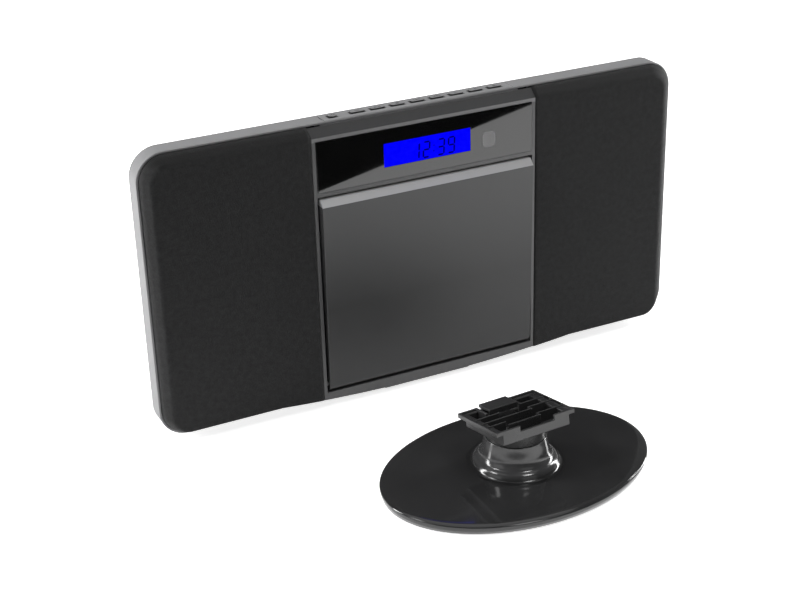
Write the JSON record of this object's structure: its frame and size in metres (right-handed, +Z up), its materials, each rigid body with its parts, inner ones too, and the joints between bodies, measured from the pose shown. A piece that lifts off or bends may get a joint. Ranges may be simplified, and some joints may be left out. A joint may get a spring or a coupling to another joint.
{
  "type": "mini hifi system",
  "caption": "Slim flat music system with cloth speaker grilles, a lit display, a disc bay behind a drop-down door, keys along the top and a separate oval table stand.",
  "frame": {"origin": "middle of the front edge of the flat foot under the cabinet band, on the table", "axes": "+X to the listener's right along the width, +Y to the back, +Z up"},
  "size_m": [0.41, 0.277, 0.2117],
  "materials": {
    "cabinet": "satin moulded, dark grey",
    "rear_plastic": "fine textured black",
    "black_plastic": "moulded black",
    "grille_cloth": "tight black speaker cloth",
    "frame_plastic": "semi gloss grey",
    "window_gloss": "high gloss black",
    "lcd_glass": "lit blue display",
    "white_plastic": "natural white",
    "circuit_board": "green solder mask",
    "strip_plastic": "satin grey",
    "key_plastic": "satin grey",
    "door_gloss": "satin gloss dark grey",
    "deck_steel": "zinc plated sheet",
    "steel": "plain",
    "basket_steel": "black painted pressed steel",
    "motor_steel": "drawn steel",
    "sled_metal": "cast zinc, close to this in weight",
    "cone_paper": "black pulp",
    "magnet_ferrite": "sintered ferrite, close to this in weight",
    "lens_glass": "coated",
    "component_black": "sleeved",
    "heatsink_aluminium": "extruded",
    "foot_rubber": "soft",
    "stand_gloss": "piano gloss black",
    "stand_matte": "matte black"
  },
  "bodies": {
    "unit": {"front_housing": "cabinet", "rear_cover": "rear_plastic", "case_screws": "steel", "dock_socket": "rear_plastic", "left_grille_cloth": "grille_cloth", "right_grille_cloth": "grille_cloth", "left_grille_frame": "black_plastic", "right_grille_frame": "black_plastic", "left_speaker_basket": "basket_steel", "right_speaker_basket": "basket_steel", "left_speaker_cone": "cone_paper", "right_speaker_cone": "cone_paper", "left_speaker_magnet": "magnet_ferrite", "right_speaker_magnet": "magnet_ferrite", "centre_frame": "frame_plastic", "display_window": "window_gloss", "lcd_panel": "lcd_glass", "lcd_backlight": "white_plastic", "display_board": "circuit_board", "ir_receiver": "black_plastic", "button_strip": "strip_plastic", "button_board": "circuit_board", "button_switches": "steel", "disc_tray": "black_plastic", "deck_chassis": "deck_steel", "sled_guide_rods": "steel", "spindle_motor": "motor_steel", "sled_motor": "motor_steel", "main_board": "circuit_board", "board_components": "component_black", "amplifier_heatsink": "heatsink_aluminium", "aux_jack": "black_plastic", "dc_inlet": "black_plastic"},
    "door": {"disc_door": "door_gloss", "door_hinge_pins": "steel"},
    "turntable": {"turntable_hub": "black_plastic", "spindle_shaft": "steel"},
    "sled": {"optical_sled": "sled_metal", "sled_lens": "lens_glass", "sled_rack": "white_plastic"},
    "pinion": {"drive_pinion": "white_plastic", "pinion_shaft": "steel"},
    "stand": {"stand_base": "stand_gloss", "stand_base_plate": "black_plastic", "stand_weight": "motor_steel", "stand_feet": "foot_rubber", "stand_neck": "stand_gloss", "stand_collar": "stand_matte", "stand_bolt": "steel", "clip_plate": "stand_matte"},
    "latch": {"latch_tongue": "stand_matte"},
    "power_key": {"power_button": "key_plastic"},
    "source_key": {"source_button": "key_plastic"},
    "play_key": {"play_button": "key_plastic"},
    "stop_key": {"stop_button": "key_plastic"},
    "previous_key": {"previous_button": "key_plastic"},
    "next_key": {"next_button": "key_plastic"},
    "volume_down_key": {"volume_down_button": "key_plastic"},
    "volume_up_key": {"volume_up_button": "key_plastic"},
    "open_key": {"open_button": "key_plastic"}
  },
  "joints": [
    {"name": "door_hinge", "type": "hinge", "parent": "unit", "child": "door", "pos_m": [0, -0.0043, 0.0187], "axis": [1, 0, 0], "range_deg": [0, 60]},
    {"name": "power_press", "type": "slide", "parent": "unit", "child": "power_key", "axis": [0, 0, -1], "range_m": [0, 0.0008], "stiffness_N_per_m": 600, "springref_m": -0.0005},
    {"name": "source_press", "type": "slide", "parent": "unit", "child": "source_key", "axis": [0, 0, -1], "range_m": [0, 0.0008], "stiffness_N_per_m": 600, "springref_m": -0.0005},
    {"name": "play_press", "type": "slide", "parent": "unit", "child": "play_key", "axis": [0, 0, -1], "range_m": [0, 0.0008], "stiffness_N_per_m": 600, "springref_m": -0.0005},
    {"name": "stop_press", "type": "slide", "parent": "unit", "child": "stop_key", "axis": [0, 0, -1], "range_m": [0, 0.0008], "stiffness_N_per_m": 600, "springref_m": -0.0005},
    {"name": "previous_press", "type": "slide", "parent": "unit", "child": "previous_key", "axis": [0, 0, -1], "range_m": [0, 0.0008], "stiffness_N_per_m": 600, "springref_m": -0.0005},
    {"name": "next_press", "type": "slide", "parent": "unit", "child": "next_key", "axis": [0, 0, -1], "range_m": [0, 0.0008], "stiffness_N_per_m": 600, "springref_m": -0.0005},
    {"name": "volume_down_press", "type": "slide", "parent": "unit", "child": "volume_down_key", "axis": [0, 0, -1], "range_m": [0, 0.0008], "stiffness_N_per_m": 600, "springref_m": -0.0005},
    {"name": "volume_up_press", "type": "slide", "parent": "unit", "child": "volume_up_key", "axis": [0, 0, -1], "range_m": [0, 0.0008], "stiffness_N_per_m": 600, "springref_m": -0.0005},
    {"name": "open_press", "type": "slide", "parent": "unit", "child": "open_key", "axis": [0, 0, -1], "range_m": [0, 0.0008], "stiffness_N_per_m": 600, "springref_m": -0.0005},
    {"name": "turntable_spin", "type": "hinge", "parent": "unit", "child": "turntable", "pos_m": [0, 0.009, 0.0865], "axis": [0, 1, 0], "continuous": true},
    {"name": "sled_travel", "type": "slide", "parent": "unit", "child": "sled", "axis": [1, 0, 0], "range_m": [0, 0.033]},
    {"name": "pinion_spin", "type": "hinge", "parent": "unit", "child": "pinion", "pos_m": [0.05, 0.02, 0.0632], "axis": [0, 1, 0], "range_deg": [-2, 240]},
    {"name": "stand_apart", "type": "slide", "parent": "unit", "child": "stand", "axis": [0, -1, 0], "range_m": [0, 0.1]},
    {"name": "latch_press", "type": "hinge", "parent": "stand", "child": "latch", "pos_m": [-0.01179, -0.12651, 0.03879], "axis": [0.9976, 0.0698, 0], "range_deg": [0, 6], "stiffness_Nm_per_rad": 0.2, "springref_deg": -1.15}
  ],
  "couplings": [
    {"joint": "pinion_spin", "follows": "sled_travel", "rad_per_m": 125}
  ]
}
